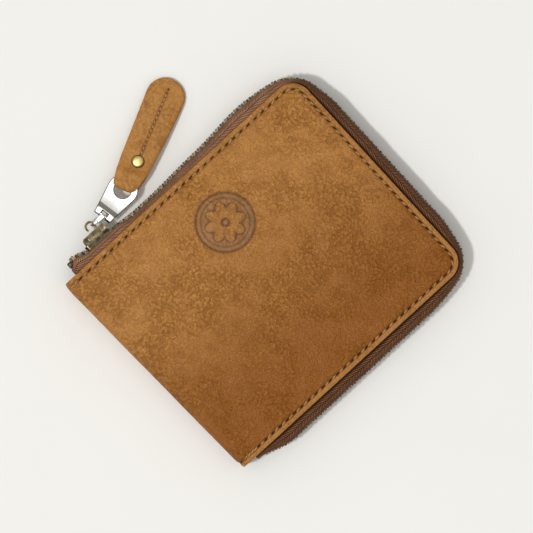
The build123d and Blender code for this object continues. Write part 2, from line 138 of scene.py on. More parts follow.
def mesh_object(name, points, faces, materials, face_material=None, attributes=None, sharp=50):
    mesh = bpy.data.meshes.new(name)
    mesh.from_pydata([tuple(p) for p in np.asarray(points) * MM], [], faces)
    for key, values in (attributes or {}).items():
        values = np.asarray(values, np.float32)
        kind = "FLOAT_VECTOR" if values.ndim == 2 else "FLOAT"
        attribute = mesh.attributes.new(key, kind, "POINT")
        attribute.data.foreach_set("vector" if values.ndim == 2 else "value", values.ravel())
    for material in materials:
        mesh.materials.append(material)
    if face_material is not None:
        mesh.polygons.foreach_set("material_index", np.asarray(face_material, np.int32))
    mesh.polygons.foreach_set("use_smooth", np.ones(len(mesh.polygons), bool))
    mesh.update()
    mesh.set_sharp_from_angle(angle=math.radians(sharp))
    return linked(name, mesh)


def welded(flat, faces):
    """Merge points that share a place on the flat sheet, and drop what that leaves empty."""
    _, first, index = np.unique(np.round(flat, 4), axis=0, return_index=True, return_inverse=True)
    index = index.ravel()
    kept = []
    for face in faces:
        ring = []
        for corner in index[list(face)]:
            if corner not in ring:
                ring.append(int(corner))
        if len(ring) > 2:
            kept.append(ring)
    return first, kept


def shell(name, outer, inner, faces, materials, attributes=None, sharp=50):
    """A closed sheet: outer face, inner face and the cut edge between them, each its own material."""
    count = len(outer)
    used = {}  # a dict, so that its order stays the same
    for face in faces:
        for a, b in zip(face, face[1:] + face[:1]):
            used[(a, b)] = True
    edge = [(a, b) for a, b in used if (b, a) not in used]
    back = [[corner + count for corner in reversed(face)] for face in faces]
    wall = [[b, a, a + count, b + count] for a, b in edge]
    slots = [0] * len(faces) + [1] * len(back) + [2] * len(wall)
    doubled = {key: np.concatenate([value, value]) for key, value in (attributes or {}).items()}
    points = np.concatenate([outer, inner])
    return mesh_object(name, points, list(faces) + back + wall, materials, slots, doubled, sharp)


def grid_faces(rows, columns):
    faces = []
    for i in range(rows - 1):
        for j in range(columns - 1):
            a = i * columns + j
            faces.append([a, a + columns, a + columns + 1, a + 1])
    return faces


def flipped(faces):
    return [face[::-1] for face in faces]


def repeated(name, points, faces, origins, along, out, up, material, sharp=50):
    """One mesh of many copies of a small solid, each in its own axes."""
    places = (
        origins[:, None, :]
        + points[None, :, 0:1] * along[:, None, :]
        + points[None, :, 1:2] * out[:, None, :]
        + points[None, :, 2:3] * up[:, None, :]
    )
    count = len(points)
    copies = []
    for k in range(len(origins)):
        copies += [[corner + k * count for corner in face] for face in faces]
    tint = np.repeat(rng.random(len(origins)), count)
    return mesh_object(name, places.reshape(-1, 3), copies, [material], None, {"tint": tint}, sharp)


def stacked(rings):
    """A closed solid from equal rings of points, capped at both ends."""
    count = len(rings[0])
    faces = []
    for k in range(len(rings) - 1):
        for i in range(count):
            j = (i + 1) % count
            faces.append([k * count + i, k * count + j, (k + 1) * count + j, (k + 1) * count + i])
    faces.append(list(range(count))[::-1])
    faces.append([(len(rings) - 1) * count + i for i in range(count)])
    return np.concatenate(rings), faces


def chamfered(half_long, half_deep, cut, z):
    """An oblong ring with its corners cut off."""
    x = np.array([-1, 1, 1, 1, 1, -1, -1, -1]) * half_long + np.array([1, -1, 0, 0, -1, 1, 0, 0]) * cut
    y = np.array([-1, -1, -1, 1, 1, 1, 1, -1]) * half_deep + np.array([0, 0, 1, -1, 0, 0, -1, 1]) * cut
    return np.stack([x, y, np.full(8, z)], axis=1)


def thread_bead(long, wide, tall):
    """A short twisted stitch lying along x, sinking at both ends."""
    angle = np.linspace(0, 2 * np.pi, 13)[:-1]
    rings = []
    for x in np.linspace(-1, 1, 13):
        swell = max(0.05, 1 - abs(x) ** 3.2) ** 0.5
        ply = swell * (1 + 0.13 * np.cos(2 * angle + 5.5 * x))
        sunk = tall * 0.42 * (swell - 0.75)
        y = np.cos(angle) * wide / 2 * ply
        z = np.sin(angle) * tall / 2 * ply + sunk
        rings.append(np.stack([np.full(12, x * long / 2), y, z], axis=1))
    return stacked(rings)


# ---- the line round the open sides


def along_rim(s, growth, start_x, radius):
    """Points on the rim, s measured from start_x on the slider's side at that corner radius."""
    s = np.asarray(s, float)
    growth = np.broadcast_to(np.asarray(growth, float), s.shape)
    first = ANCHOR_X - start_x
    arc = radius * math.pi / 2
    side = 2 * ANCHOR_Y
    a = np.clip(s, None, first)
    turn_1 = np.clip(s - first, 0, arc) / radius
    b = np.clip(s - first - arc, 0, side)
    turn_2 = np.clip(s - first - arc - side, 0, arc) / radius
    c = np.clip(s - first - 2 * arc - side, 0, None)
    turn = turn_1 + turn_2
    normal = np.stack([np.sin(turn), np.cos(turn), 0 * turn], axis=-1)
    tangent = np.stack([np.cos(turn), -np.sin(turn), 0 * turn], axis=-1)
    anchor = np.stack([start_x + a - c, ANCHOR_Y - b, 0 * s], axis=-1)
    return anchor + normal * (CORNER_R + growth)[..., None], normal, tangent


def rim_length(start_x, end_x, radius):
    return (ANCHOR_X - start_x) + (ANCHOR_X - end_x) + 2 * ANCHOR_Y + radius * math.pi


CHAIN_RADIUS = CORNER_R + CHAIN_OUT


def chain_bow(s, start_x):
    """How far the soft chain stands outside its even line: it bulges, and is drawn in at corners."""
    place, normal, _ = along_rim(s, 0, start_x, CHAIN_RADIUS)
    x = place[..., 0]
    first_corner = ANCHOR_X - start_x + CHAIN_RADIUS * math.pi / 4
    second_corner = first_corner + CHAIN_RADIUS * math.pi / 2 + 2 * ANCHOR_Y
    drawn_in = 1.7 * hump(s, first_corner, 9.0) + 1.9 * hump(s, second_corner, 9.5)
    taut = 0.8 * smooth((x + 33) / 12) * smooth((8 - x) / 22)
    flare = 1.6 * smooth((-46.2 - x) / 7.0)
    slider_side = 1.7 * hump(x, 34, 14.5) - taut + flare
    free_side = 0.95 * smooth((ANCHOR_Y + 1 - np.abs(place[..., 1])) / 13)
    far_side = 1.15 * smooth((ANCHOR_X + 2 - x) / 19) - 4.2 * smooth((-36 - x) / 19)
    bow = -drawn_in + (normal[..., 1] > 0.99) * slider_side
    return bow + (normal[..., 0] > 0.99) * free_side + (normal[..., 1] < -0.99) * far_side


def row_spread(x, y):
    """How far one row stands from the middle where the rows part."""
    return np.where(y > 0, np.clip((SPREAD_X - x) * SPREAD_SLOPE, 0, SPREAD_MOST), 0.0)


def mirrored(points):
    points = np.array(points)
    points[..., 2] = TOP - points[..., 2]
    return points


def for_side(side, outer, inner, faces):
    """What is made for the front, turned over for the back."""
    if side == "front":
        return outer, inner, faces
    return mirrored(outer), mirrored(inner), flipped(faces)


class Look:
    """A node material, in millimetres."""

    def __init__(self, name):
        self.material = bpy.data.materials.new(name)
        self.material.use_nodes = True
        self.tree = self.material.node_tree
        self.shader = self.tree.nodes["Principled BSDF"]

    def node(self, kind, inputs=None, **settings):
        made = self.tree.nodes.new(kind)
        for key, value in settings.items():
            setattr(made, key, value)
        for key, value in (inputs or {}).items():
            self.put(made.inputs[key], value)
        return made

    def put(self, socket, value):
        if isinstance(value, bpy.types.NodeSocket):
            self.tree.links.new(value, socket)
        elif isinstance(value, (tuple, list)) and len(value) == 3 and socket.type == "RGBA":
            socket.default_value = (*value, 1)
        else:
            socket.default_value = value

    def math(self, kind, *values):
        inputs = dict(enumerate(values))
        return self.node("ShaderNodeMath", inputs, operation=kind).outputs[0]

    def times(self, a, b):
        return self.math("MULTIPLY", a, b)

    def times_plus(self, a, b, c):
        return self.math("MULTIPLY_ADD", a, b, c)

    def away(self, a, b):
        """How far a is from b."""
        return self.math("ABSOLUTE", self.math("SUBTRACT", a, b))

    def step(self, value, low, high, to_low=0.0, to_high=1.0):
        made = self.node(
            "ShaderNodeMapRange",
            {"Value": value, "From Min": low, "From Max": high, "To Min": to_low, "To Max": to_high},
            interpolation_type="SMOOTHSTEP",
        )
        return made.outputs["Result"]

    def mix(self, share, a, b, most=None):
        made = self.node("ShaderNodeMix", data_type="RGBA")
        self.put(made.inputs["Factor"], share if most is None else self.times(share, most))
        self.put(made.inputs[6], a)
        self.put(made.inputs[7], b)
        return made.outputs[2]

    def attribute(self, name, output="Vector"):
        return self.node("ShaderNodeAttribute", attribute_name=name).outputs[output]

    def object_mm(self):
        place = self.node("ShaderNodeTexCoord").outputs["Object"]
        scaled = self.node("ShaderNodeVectorMath", {0: place}, operation="SCALE")
        scaled.inputs["Scale"].default_value = 1 / MM
        return scaled.outputs[0]

    def noise(self, place, scale, detail=3.0, rough=0.55, distortion=0.0):
        inputs = {"Vector": place, "Scale": scale, "Detail": detail}
        inputs |= {"Roughness": rough, "Distortion": distortion}
        return self.node("ShaderNodeTexNoise", inputs).outputs["Fac"]

    def cells(self, place, scale, feature="DISTANCE_TO_EDGE"):
        inputs = {"Vector": place, "Scale": scale}
        return self.node("ShaderNodeTexVoronoi", inputs, feature=feature).outputs["Distance"]

    def warped(self, place, scale, amount):
        made = self.node("ShaderNodeTexNoise", {"Vector": place, "Scale": scale, "Detail": 2.0})
        centred = self.node("ShaderNodeVectorMath", {0: made.outputs["Color"], 1: (0.5, 0.5, 0.5)})
        centred.operation = "SUBTRACT"
        scaled = self.node("ShaderNodeVectorMath", {0: centred.outputs[0]}, operation="SCALE")
        scaled.inputs["Scale"].default_value = amount
        return self.node("ShaderNodeVectorMath", {0: place, 1: scaled.outputs[0]}).outputs[0]

    def split(self, place):
        made = self.node("ShaderNodeSeparateXYZ", {0: place})
        return made.outputs[0], made.outputs[1], made.outputs[2]

    def bump(self, height, depth_mm, strength=1.0):
        inputs = {"Height": height, "Distance": depth_mm * MM, "Strength": strength}
        return self.node("ShaderNodeBump", inputs).outputs["Normal"]

    def finish(self, **sockets):
        for key, value in sockets.items():
            self.put(self.shader.inputs[key.replace("_", " ")], value)
        return self.material


def srgb(red, green, blue):
    """A linear colour from its screen values."""
    screen = (red, green, blue)
    return tuple(((c / 255 + 0.055) / 1.055) ** 2.4 if c > 10 else c / 255 / 12.92 for c in screen)


def pebbled_leather(name, tones, strip=True, grain=1.0, slits=0.85):
    """Tanned hide: two sizes of pebble, broad mottling, and needle slits along the seam, painted dark as
    shade.
    """
    look = Look(name)
    flat = look.attribute("flat")
    _, y, _ = look.split(flat)
    pebble = look.step(look.cells(look.warped(flat, 0.5, 1.1), 0.72, "F1"), 0.3, 0.8)
    small = look.step(look.cells(look.warped(flat, 1.4, 0.5), 1.25, "F1"), 0.3, 0.8)
    patch = look.step(look.noise(flat, 0.04, 2.0), 0.38, 0.6, 0.3, 1.0)
    valley = look.times(pebble, patch)
    mottle = look.noise(flat, 0.16, 4.0, 0.62, 0.5)
    cloud = look.noise(flat, 0.03, 2.0)
    speck_highlight = look.noise(flat, 1.9, 3.0, 0.65)
    # Painted shade: the light tone is the lit leather and the middle tone the same leather in shade, used
    # towards the low side.
    light, middle, dark = tones
    low_side_shade = look.step(look.times_plus(cloud, 36.0, y), 46.0, -22.0)
    colour = look.mix(low_side_shade, light, middle)
    colour = look.mix(look.step(mottle, 0.42, 0.7, 0.0, 0.3), colour, dark)
    colour = look.mix(valley, colour, LEATHER_DEEP, 0.4)
    colour = look.mix(small, colour, LEATHER_DEEP, 0.24)
    # Painted highlights on raised specks of the grain, in the lit tone.
    colour = look.mix(look.step(speck_highlight, 0.48, 0.7, 0.0, 0.28), colour, light)
    height = look.times_plus(valley, -1.0, look.times(small, -0.5))
    height = look.times_plus(speck_highlight, 0.12, height)
    rough = look.times_plus(valley, 0.16, look.step(mottle, 0.3, 0.7, 0.38, 0.5))
    # Along the seam, in from the edge, and how deep the stamp is there.
    s, d, stamp = look.split(look.attribute("rim"))
    if strip:
        # A painted highlight on the rolled edge strip outside the stitches, stronger towards the low side.
        outside = look.times(look.step(d, 1.5, 2.1, 1.0, 0.0), look.step(low_side_shade, 0.0, 1.0, 0.1, 0.45))
        colour = look.mix(outside, colour, EDGE_HIGHLIGHT)
        colour = look.mix(stamp, colour, srgb(122, 84, 48), 0.5)
        colour = look.mix(look.attribute("stamp", "Fac"), colour, srgb(78, 46, 22), 0.75)
        height = look.times(height, look.times_plus(stamp, -0.6, 1.0))
    across = look.math("SUBTRACT", d, STITCH_INSET)
    phase = look.math("FRACT", look.math("DIVIDE", s, STITCH_PITCH))
    in_gap = look.step(look.away(phase, 0.5), 0.14, 0.24, 1.0, 0.0)
    tilt = look.times_plus(look.math("SUBTRACT", phase, 0.5), 0.8, across)
    near = look.step(look.math("ABSOLUTE", tilt), 0.16, 0.4, 1.0, 0.0)
    sewn = look.step(s, -6.6, -6.2)
    slit = look.times(look.times(in_gap, near), sewn)
    # Painted shade along the stitch groove.
    halo = look.step(look.math("ABSOLUTE", across), 0.35, 1.1, 0.45, 0.0)
    colour = look.mix(look.times(halo, sewn), colour, LEATHER_DEEP)
    # The needle slits are painted near black as shade; slits sets how strong.
    colour = look.mix(slit, colour, srgb(16, 8, 4), slits)
    height = look.times_plus(slit, -1.6, height)
    rough = look.times_plus(slit, 0.3, rough)
    normal = look.bump(height, 0.36 * grain)
    return look.finish(Base_Color=colour, Roughness=rough, Normal=normal, Specular_IOR_Level=0.28)


def cut_leather(name, colour, dark):
    look = Look(name)
    fibre = look.noise(look.attribute("flat"), 1.6, 4.0, 0.6)
    mixed = look.mix(look.step(fibre, 0.35, 0.65), colour, dark)
    rough = look.step(fibre, 0.3, 0.7, 0.45, 0.7)
    return look.finish(Base_Color=mixed, Roughness=rough, Normal=look.bump(fibre, 0.15, 0.6))


def thread_look(name, pale, shade):
    look = Look(name)
    fibre = look.noise(look.object_mm(), 3.4, 4.0, 0.65)
    colour = look.mix(look.step(fibre, 0.35, 0.68), shade, pale)
    colour = look.mix(look.attribute("tint", "Fac"), colour, shade, 0.3)
    rough = look.step(fibre, 0.3, 0.7, 0.5, 0.72)
    normal = look.bump(fibre, 0.12, 0.7)
    return look.finish(Base_Color=colour, Roughness=rough, Normal=normal, Sheen_Weight=0.25)


def metal_look(name, bright, second_tone, rough_low, rough_high):
    """Plated metal, clouded and finely scratched."""
    look = Look(name)
    place = look.object_mm()
    cloud = look.noise(place, 0.45, 4.0, 0.6)
    fine = look.noise(place, 5.0, 3.0, 0.6)
    colour = look.mix(look.step(cloud, 0.35, 0.7), bright, second_tone)
    scratch = look.noise(place, 1.4, 6.0, 0.5, 2.5)
    mark = look.step(scratch, 0.56, 0.6, 0.0, 0.12)
    rough = look.math("ADD", look.step(fine, 0.3, 0.7, rough_low, rough_high), mark)
    normal = look.bump(look.times_plus(fine, 0.5, cloud), 0.05, 0.5)
    return look.finish(Base_Color=colour, Metallic=1.0, Roughness=rough, Normal=normal)


def blade_look(name):
    """Polished plate; the slope between its thick base and thin blade is painted dark, a painted reflection
    of the grey ceiling.
    """
    look = Look(name)
    place = look.object_mm()
    base = tuple(joints["puller_lift"]["pos_m"][k] / MM for k in range(3))
    offset = look.node("ShaderNodeVectorMath", {0: place, 1: base}, operation="SUBTRACT").outputs[0]
    along = {0: offset, 1: tuple(puller_along)}
    run = look.node("ShaderNodeVectorMath", along, operation="DOT_PRODUCT").outputs["Value"]
    slope = look.times(look.step(run, 1.75, 1.95), look.step(run, 3.65, 3.9, 1.0, 0.0))
    cloud = look.noise(place, 0.5, 3.0)
    hair = look.noise(place, 6.0, 4.0, 0.7, 1.0)
    colour = look.mix(look.step(cloud, 0.4, 0.7), srgb(250, 248, 244), srgb(240, 237, 232))
    # Painted dark reflection on the slope.
    colour = look.mix(slope, colour, srgb(104, 98, 80), 0.85)
    rough = look.times_plus(slope, 0.15, look.step(hair, 0.35, 0.7, 0.10, 0.16))
    normal = look.bump(hair, 0.012, 0.3)
    return look.finish(Base_Color=colour, Metallic=1.0, Roughness=rough, Normal=normal)


def link_look(name):
    """Dark round the hook, bright on the neck."""
    look = Look(name)
    place = look.object_mm()
    x, _, _ = look.split(place)
    cloud = look.noise(place, 0.8, 4.0, 0.6)
    dark = look.mix(look.step(cloud, 0.35, 0.7), srgb(120, 110, 86), srgb(56, 48, 36))
    colour = look.mix(look.step(x, -37.4, -36.4), dark, srgb(236, 234, 230))
    rough = look.step(cloud, 0.3, 0.7, 0.14, 0.26)
    return look.finish(Base_Color=colour, Metallic=1.0, Roughness=rough, Normal=look.bump(cloud, 0.03, 0.4))


def tape_look(name):
    """Herringbone with pinkish raised yarns, paler along the slider's side; painted shade darkens it where
    it goes under the leather.
    """
    look = Look(name)
    s, w, pale_side = look.split(look.attribute("flat"))
    across = look.math("DIVIDE", w, 1.5)
    side = look.math("PINGPONG", across, 1.0)
    rib = look.math("FRACT", look.times_plus(side, 2.0, look.math("DIVIDE", s, 0.8)))
    raised = look.step(look.math("PINGPONG", rib, 0.5), 0.08, 0.4)
    seam = look.step(look.math("PINGPONG", across, 0.5), 0.0, 0.14, 1.0, 0.0)
    place = look.object_mm()
    fuzz = look.noise(place, 2.4, 4.0, 0.7)
    broad = look.noise(place, 0.12, 2.0)
    colour = look.mix(raised, srgb(36, 19, 9), srgb(146, 96, 62))
    # The tape is paler along the slider's side.
    second_tone = look.mix(raised, srgb(104, 62, 42), srgb(206, 156, 120))
    colour = look.mix(pale_side, colour, second_tone, 0.8)
    pink = look.times(look.step(fuzz, 0.5, 0.66), raised)
    colour = look.mix(pink, colour, srgb(202, 152, 120), 0.5)
    colour = look.mix(seam, colour, srgb(34, 19, 12), 0.7)
    colour = look.mix(look.step(broad, 0.4, 0.65, 0.0, 0.25), colour, srgb(66, 42, 26))
    # Painted shade on the tape where it goes under the leather edge, less on the slider's side.
    under_leather_shade = look.times(look.step(w, 5.3, 5.9), look.step(w, 6.3, 7.0, 1.0, 0.0))
    under_leather_shade = look.times(under_leather_shade, look.times_plus(pale_side, -0.9, 0.8))
    colour = look.mix(under_leather_shade, colour, srgb(20, 10, 5))
    height = look.times_plus(fuzz, 0.4, raised)
    normal = look.bump(look.times_plus(seam, -0.7, height), 0.2)
    rough = look.step(fuzz, 0.3, 0.7, 0.75, 0.95)
    return look.finish(Base_Color=colour, Roughness=rough, Normal=normal, Specular_IOR_Level=0.15)


def twill_look(name, warp_colour, weft_colour):
    look = Look(name)
    place = look.attribute("flat")
    x, y, _ = look.split(place)
    rib = look.math("FRACT", look.math("DIVIDE", look.math("ADD", x, y), 0.9))
    ridge = look.step(look.math("PINGPONG", rib, 0.5), 0.05, 0.42)
    knot = look.math("SINE", look.times(look.math("SUBTRACT", x, y), 9.0))
    fuzz = look.noise(place, 2.6, 3.0, 0.7)
    broad = look.noise(place, 0.06, 3.0)
    colour = look.mix(ridge, weft_colour, warp_colour)
    colour = look.mix(look.step(fuzz, 0.45, 0.75, 0.0, 0.35), colour, weft_colour)
    colour = look.mix(look.step(broad, 0.4, 0.7, 0.0, 0.3), colour, weft_colour)
    rough = look.step(fuzz, 0.3, 0.7, 0.7, 0.9)
    normal = look.bump(look.times_plus(knot, 0.15, ridge), 0.12, 0.7)
    return look.finish(Base_Color=colour, Roughness=rough, Normal=normal, Sheen_Weight=0.2)


def plain_hide(name, light, dark, scale=0.9):
    """Smooth fine-grained leather in object space."""
    look = Look(name)
    place = look.object_mm()
    valley = look.step(look.cells(look.warped(place, 0.8, 0.5), scale), 0.02, 0.25, 1.0, 0.0)
    mottle = look.noise(place, 0.2, 5.0, 0.65)
    colour = look.mix(look.step(mottle, 0.3, 0.85, 0.0, 0.6), light, dark)
    colour = look.mix(valley, colour, dark, 0.3)
    rough = look.step(mottle, 0.3, 0.7, 0.42, 0.58)
    return look.finish(Base_Color=colour, Roughness=rough, Normal=look.bump(valley, -0.06, 0.8))


def board_look(name):
    look = Look(name)
    fibre = look.noise(look.object_mm(), 1.2, 5.0, 0.7, 0.5)
    colour = look.mix(look.step(fibre, 0.35, 0.65), srgb(150, 130, 104), srgb(112, 94, 72))
    rough = look.step(fibre, 0.3, 0.7, 0.8, 0.95)
    return look.finish(Base_Color=colour, Roughness=rough, Normal=look.bump(fibre, 0.08, 0.6))


# Leather tones: lit, in painted shade towards the low side, and darker mottling.
TONES = (srgb(189, 130, 61), srgb(150, 88, 14), srgb(126, 70, 6))
TAB_TONES = (srgb(188, 132, 63), srgb(177, 118, 48), srgb(148, 91, 30))
LEATHER_DEEP = srgb(106, 53, 3)
# Colour of the painted highlight on the rolled edge strip.
EDGE_HIGHLIGHT = srgb(212, 154, 84)

leather = pebbled_leather("pebbled_leather", TONES)
tab_hide = pebbled_leather("tab_leather", TAB_TONES, strip=False, grain=0.2, slits=0.62)
leather_cut = cut_leather("leather_cut_edge", srgb(104, 62, 30), srgb(58, 33, 17))
leather_back = cut_leather("leather_flesh_side", srgb(176, 134, 88), srgb(140, 100, 60))
thread = thread_look("linen_thread", srgb(212, 170, 98), srgb(140, 98, 46))
tape_cloth = tape_look("herringbone_tape")
lining_cloth = twill_look("twill_lining", srgb(112, 78, 52), srgb(74, 49, 33))
pocket_hide = plain_hide("pocket_leather", srgb(170, 112, 58), srgb(132, 82, 38))
pocket_cut = plain_hide("pocket_cut_edge", srgb(112, 70, 36), srgb(70, 42, 22), 1.6)
board = board_look("fibre_board")
teeth_metal = metal_look("antique_brass", srgb(122, 104, 74), srgb(58, 46, 30), 0.26, 0.42)
stop_metal = metal_look("dark_brass", srgb(96, 92, 74), srgb(46, 42, 32), 0.3, 0.45)
slider_metal = metal_look("antique_nickel", srgb(96, 86, 64), srgb(34, 28, 20), 0.16, 0.3)
# The slider's softened edges are brighter than its body.
bright_edge = metal_look("bright_bevel_metal", srgb(206, 196, 166), srgb(142, 130, 100), 0.16, 0.28)
# The puller blade's softened edges: a painted dark reflection of the dark walls.
dark_reflection_edge = metal_look("dark_reflection_edge", srgb(84, 74, 58), srgb(52, 44, 34), 0.3, 0.4)
link_metal = link_look("link_nickel")
puller_metal = blade_look("bright_nickel")
rivet_metal = metal_look("polished_brass", srgb(250, 232, 160), srgb(232, 204, 124), 0.32, 0.42)
# The rivet's rolled rim: a painted dark reflection.
rivet_rim_dark_reflection = metal_look("rivet_rim_dark_reflection", srgb(120, 92, 44), srgb(64, 46, 22), 0.35, 0.45)


# ---- leather shell and lining


def on_sheet(u, v, h):
    """Bend the flat front half round the fold: u across, v along the spine, h above the surface."""
    angle = np.clip((FOLD_X - u) / FOLD_R, 0, math.pi / 2)
    past = np.clip(FOLD_X - FOLD_LONG - u, 0, None)
    x = np.where(u > FOLD_X, u, FOLD_X - np.sin(angle) * (FOLD_R + h))
    z = np.where(u > FOLD_X, TOP + h, TOP - FOLD_R + np.cos(angle) * (FOLD_R + h) - past)
    lean = SPINE_LEAN_LOW + (SPINE_LEAN_TOP - SPINE_LEAN_LOW) * (v + EDGE_Y) / (2 * EDGE_Y)
    x = x + lean * smooth((-46 - u) / 12)
    return np.stack([x, v, z], axis=-1)


UNSEWN = -9.0  # a place along the seam from which the leather's look draws no slits


def rimmed_sheet(us, vs, inset, rings):
    """Flat points and faces of a half shell: a grid, and rings that follow the open sides."""
    inner_u, inner_v = np.meshgrid(us, vs, indexing="ij")
    points = [np.stack([inner_u.ravel(), inner_v.ravel()], axis=1)]
    far = np.minimum(np.minimum(ANCHOR_X - inner_u, ANCHOR_Y - np.abs(inner_v)), 60)
    rim = [np.stack([np.full(far.size, UNSEWN), far.ravel() + CORNER_R], axis=1)]
    faces = grid_faces(len(us), len(vs))
    turns = np.linspace(0, math.pi / 2, 15)[1:-1]
    stations = [(u, ANCHOR_Y, 0.0, u - STITCH_FIRST_X) for u in us]
    radius = CORNER_R - STITCH_INSET
    run = ANCHOR_X - STITCH_FIRST_X
    stations += [(ANCHOR_X, ANCHOR_Y, t, run + radius * t) for t in turns]
    run += radius * math.pi / 2
    stations += [(ANCHOR_X, v, math.pi / 2, run + ANCHOR_Y - v) for v in vs[::-1]]
    run += 2 * ANCHOR_Y
    stations += [(ANCHOR_X, -ANCHOR_Y, math.pi / 2 + t, run + radius * t) for t in turns]
    run += radius * math.pi / 2
    stations += [(u, -ANCHOR_Y, math.pi, run + ANCHOR_X - u) for u in us[::-1]]
    u0, v0, turn, s = (np.array(column)[:, None] for column in zip(*stations))
    grow = (CORNER_R - inset) * np.array(rings)[None, :]
    band = np.stack([u0 + np.sin(turn) * grow, v0 + np.cos(turn) * grow], axis=-1)
    offset = len(points[0])
    points.append(band.reshape(-1, 2))
    rim.append(np.stack([s + 0 * grow, CORNER_R - grow + 0 * s], axis=-1).reshape(-1, 2))
    faces += [[c + offset for c in face[::-1]] for face in grid_faces(len(stations), len(rings))]
    flat = np.concatenate(points)
    rim = np.concatenate(rim)
    kept, faces = welded(flat, faces)
    return flat[kept], rim[kept], faces


EMBLEM_X = 1.3
EMBLEM_Y = 25.6
EMBLEM_R = 12.2
PETALS = 8
PETAL_REACH = 8.2


def emblem(x, y):
    """A plain pressed rosette: two rings round eight petals. Returns how deep and how dark."""
    r = np.hypot(x - EMBLEM_X, y - EMBLEM_Y)
    turn = np.arctan2(y - EMBLEM_Y, x - EMBLEM_X)
    field = smooth((EMBLEM_R - r) / 0.6)
    ring = hump(r, EMBLEM_R - 0.6, 0.5) + 0.8 * hump(r, 9.6, 0.38)
    fold = np.abs((turn * PETALS / (2 * np.pi)) % 1.0 - 0.5) * 2 * np.pi / PETALS
    along = r * np.cos(fold)
    across = r * np.sin(fold)
    half_reach = PETAL_REACH / 2
    half = 2.35 * np.sqrt(np.clip(1 - ((along - half_reach - 0.6) / (half_reach - 0.4)) ** 2, 0, 1))
    petal = smooth((half - across) / 0.5) * (half > 0)
    outline = hump(across, half, 0.42) * (along < PETAL_REACH + 0.4) * (along > 0.7)
    deep = field * (1 - 0.75 * petal)
    dark = np.clip(ring + outline * (r < 9.2) + hump(r, 1.5, 0.4), 0, 1)
    return deep, dark


def relief(u, v, s, d, front):
    """Height of the outer leather over its even surface."""
    phases = rng.random(6) * 6.28
    waves = (
        np.sin(u / 11.3 + v / 23.0 + phases[0])
        + np.sin(u / 17.1 - v / 13.7 + phases[1])
        + 0.6 * np.sin(u / 6.9 + v / 8.3 + phases[2])
        + 0.4 * np.sin(u / 4.3 - v / 5.9 + phases[3])
    )
    sewn = smooth((s + 7.0) / 1.0)
    roll = -0.55 * (1 - np.clip(d / 6.5, 0, 1)) ** 2 - 0.3 * hump(d, 0, 0.4)
    groove = -0.3 * hump(d, STITCH_INSET, 0.6) * sewn
    pull = 0.5 + 0.5 * np.cos(2 * np.pi * (s / STITCH_PITCH + 0.5))
    pucker = -0.22 * pull * hump(d, STITCH_INSET, 1.3) * sewn
    height = roll + groove + pucker
    calm = smooth(d / 9) * smooth((u + 70) / 14)
    if front:
        lengthwise = 1 - np.clip(np.abs(u) / EDGE_X, 0, 1) ** 3
        crosswise = 1 - np.clip(np.abs(v) / EDGE_Y, 0, 1) ** 2.6
        height = height + 1.15 * lengthwise * crosswise + 0.10 * waves * calm
    else:
        height = height + np.minimum(0.05 * waves - 0.12, 0) * calm - 0.02
    return height


def spaced(low, high, step):
    """Even grid lines from low to high."""
    return np.linspace(low, high, int(round((high - low) / step)) + 1)


def spaced_round(low, high, step, middle, reach, fine):
    """Grid lines from low to high, closer together round the middle."""
    start, end = middle - reach, middle + reach
    parts = [spaced(low, start, step), spaced(start, end, fine)[1:], spaced(end, high, step)[1:]]
    return np.concatenate(parts)


RIM_RINGS = [0, 0.12, 0.25, 0.36, 0.46, 0.54, 0.6, 0.65, 0.7, 0.76, 0.83, 0.89, 0.94, 0.975, 1.0]


def bent_at_fold(piece):
    """Bakes the piece's placement into its points."""
    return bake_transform(piece)


def cover(side):
    front = side == "front"
    if front:
        margin = EMBLEM_R + 0.8
        us = spaced_round(SEAM_U, ANCHOR_X, 0.8, EMBLEM_X, margin, 0.4)
        vs = spaced_round(-ANCHOR_Y, ANCHOR_Y, 0.8, EMBLEM_Y, margin, 0.4)
    else:
        us = spaced(SEAM_U, ANCHOR_X, 0.85)
        vs = spaced(-ANCHOR_Y, ANCHOR_Y, 0.85)
    flat, rim, faces = rimmed_sheet(us, vs, 0.0, RIM_RINGS)
    u, v = flat[:, 0], flat[:, 1]
    s, d = rim[:, 0], rim[:, 1]
    height = relief(u, v, s, d, front)
    deep = dark = np.zeros(len(u))
    if front:
        deep, dark = emblem(u, v)
        height = height - 0.32 * deep - 0.12 * dark
    across = u if front else 2 * SEAM_U - u
    attributes = {
        "flat": np.stack([across, v, 0 * u], axis=1),
        "rim": np.stack([s, d, deep], axis=1),
        "stamp": dark,
    }
    inner = on_sheet(u, v, np.full(len(u), -LEATHER))
    sheets = for_side(side, on_sheet(u, v, height), inner, faces)
    piece = shell(f"{side}_leather_shell", *sheets, [leather, leather_back, leather_cut], attributes, 55)
    if front:
        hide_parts("front_cover_leather", "front_fold_leather", "spine_leather")
    else:
        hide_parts("back_cover_leather", "back_fold_leather")
    return bent_at_fold(piece)


def lining(side):
    front = side == "front"
    us = spaced(SEAM_U, ANCHOR_X, 1.6)
    vs = spaced(-ANCHOR_Y, ANCHOR_Y, 1.6)
    flat, _, faces = rimmed_sheet(us, vs, LINING_INSET, [0, 0.25, 0.5, 0.75, 0.92, 1.0])
    u, v = flat[:, 0], flat[:, 1]
    drop = LEATHER + (TOP - LINING_TOP - LEATHER) * smooth((u - FOLD_X) / 2.5)
    attributes = {"flat": np.stack([u, v, 0 * u], axis=1)}
    sheets = for_side(side, on_sheet(u, v, -drop), on_sheet(u, v, -drop - LINING), faces)
    piece = shell(f"{side}_lining_cloth", *sheets, [lining_cloth] * 3, attributes)
    names = [f"{side}_lining", f"{side}_fold_lining"] + (["spine_lining"] if front else [])
    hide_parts(*names)
    bent_at_fold(piece)
    return piece


